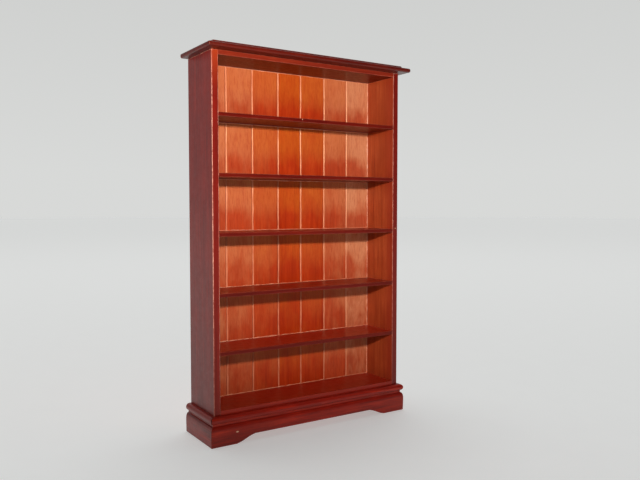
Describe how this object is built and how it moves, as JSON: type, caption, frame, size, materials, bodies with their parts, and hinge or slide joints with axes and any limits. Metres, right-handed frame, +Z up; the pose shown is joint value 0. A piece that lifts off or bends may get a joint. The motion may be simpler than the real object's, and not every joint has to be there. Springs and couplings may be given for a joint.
{
  "type": "miniature bookcase",
  "caption": "Tall, shallow open bookcase in dark red lacquered wood, with a moulded cornice, V-grooved back, square shelves and a beaded plinth on bracket feet.",
  "frame": {"origin": "on the surface it stands on, under the middle of the whole bookcase with its cornice", "axes": "+Z up, the open front faces -Y and the plain back +Y, +X is to the right of a person who looks into the front"},
  "size_m": [0.115, 0.033, 0.1842],
  "materials": {
    "carcass_wood": "red mahogany stain under satin lacquer, slightly worn on the arrises",
    "shelf_wood": "darker red mahogany stain under satin lacquer",
    "panel_wood": "lighter orange-brown stain, thinly lacquered, with pale scored grooves",
    "cornice_wood": "red mahogany stain under satin lacquer",
    "plinth_wood": "red mahogany stain under satin lacquer, with small bare chips",
    "hidden_wood": "bare softwood with a little stain, unlacquered"
  },
  "bodies": {
    "root": {"side_panel_left": "carcass_wood", "side_panel_right": "carcass_wood", "carcass_top": "carcass_wood", "bottom_board": "shelf_wood", "shelf_1": "shelf_wood", "shelf_2": "shelf_wood", "shelf_3": "shelf_wood", "shelf_4": "shelf_wood", "shelf_5": "shelf_wood", "back_panel": "panel_wood", "cornice_board": "cornice_wood", "base_bead_front": "plinth_wood", "base_bead_left": "plinth_wood", "base_bead_right": "plinth_wood", "skirting_front": "plinth_wood", "skirting_left": "plinth_wood", "skirting_right": "plinth_wood", "rear_rail": "hidden_wood", "glue_block_front_left": "hidden_wood", "glue_block_front_right": "hidden_wood", "glue_block_rear_left": "hidden_wood", "glue_block_rear_right": "hidden_wood"}
  },
  "joints": []
}
